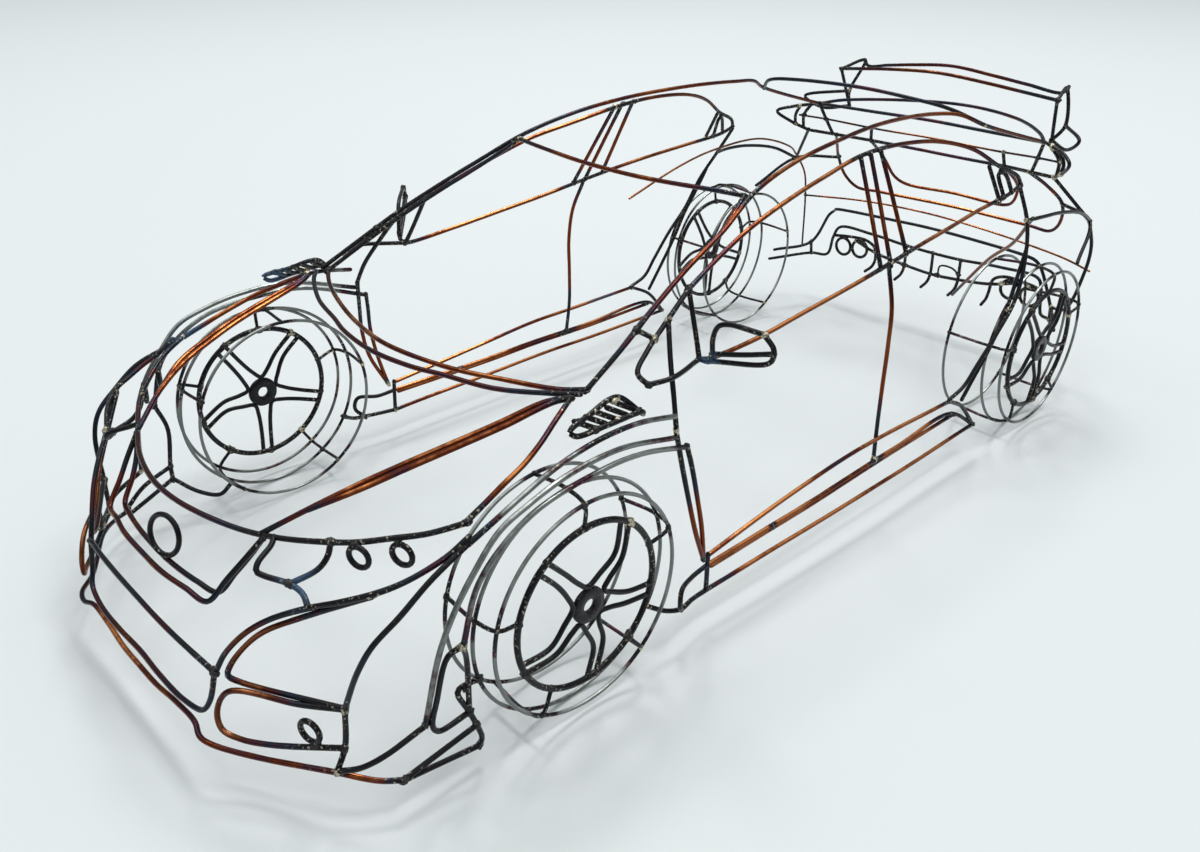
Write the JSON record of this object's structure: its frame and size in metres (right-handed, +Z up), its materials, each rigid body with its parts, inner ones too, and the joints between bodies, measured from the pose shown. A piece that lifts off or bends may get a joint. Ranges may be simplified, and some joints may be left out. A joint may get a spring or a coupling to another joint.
{
  "type": "wire car sculpture",
  "caption": "Model of a sporty hatchback car drawn in the air with bent and brazed rods, standing on four open wire wheels.",
  "frame": {"origin": "under the middle of the car's outline box, on the surface that the tyre hoops stand on", "axes": "+X towards the nose, +Y to the car's left side, +Z up"},
  "size_m": [0.4324, 0.206, 0.1341],
  "materials": {
    "copper_rod": "copper-coated rod, bright on the free spans and darkened near the joints",
    "burnt_rod": "rod blackened by the torch, with blue and violet heat colours and pale braze at the joints",
    "zinc_rod": "dull grey-green galvanised wire with dark joints"
  },
  "bodies": {
    "root": {"roof_rail_left": "copper_rod", "roof_rail_right": "copper_rod", "windscreen_frame": "copper_rod", "roof_rear_edge": "burnt_rod", "side_window_frame_left": "copper_rod", "side_window_frame_right": "copper_rod", "quarter_light_left": "burnt_rod", "quarter_light_right": "burnt_rod", "door_mirror_left": "burnt_rod", "door_mirror_right": "burnt_rod", "door_front_lines_left": "copper_rod", "door_front_lines_right": "copper_rod", "door_rear_line_left": "copper_rod", "door_rear_line_right": "copper_rod", "sill_left": "copper_rod", "sill_right": "copper_rod", "wing_line_left": "zinc_rod", "wing_line_right": "zinc_rod", "wing_vent_left": "burnt_rod", "wing_vent_right": "burnt_rod", "front_arch_outer_left": "zinc_rod", "front_arch_outer_right": "zinc_rod", "front_arch_inner_left": "burnt_rod", "front_arch_inner_right": "burnt_rod", "rear_arch_left": "burnt_rod", "rear_arch_right": "burnt_rod", "rear_shoulder_left": "burnt_rod", "rear_shoulder_right": "burnt_rod", "bonnet_front_edge": "burnt_rod", "bonnet_rear_edge": "burnt_rod", "bonnet_crease_left": "copper_rod", "bonnet_crease_right": "copper_rod", "bonnet_side_left": "copper_rod", "bonnet_side_right": "copper_rod", "grille_frame": "copper_rod", "lower_grille": "burnt_rod", "front_lip": "copper_rod", "front_bumper_line_left": "burnt_rod", "front_bumper_line_right": "burnt_rod", "headlamp_left": "burnt_rod", "headlamp_right": "burnt_rod", "fog_lamp_corner_left": "burnt_rod", "fog_lamp_corner_right": "burnt_rod", "tail_edge": "burnt_rod", "tail_lamp_left": "burnt_rod", "tail_lamp_right": "burnt_rod", "tailgate_line": "copper_rod", "plate_recess": "copper_rod", "spoiler_wing": "burnt_rod", "rear_bumper": "burnt_rod", "thin_outline_wire": "copper_rod", "front_rim_left": "burnt_rod", "front_tyre_left": "zinc_rod", "front_rim_right": "burnt_rod", "front_tyre_right": "zinc_rod", "rear_rim_left": "burnt_rod", "rear_tyre_left": "zinc_rod", "rear_rim_right": "burnt_rod", "rear_tyre_right": "zinc_rod"}
  },
  "joints": []
}
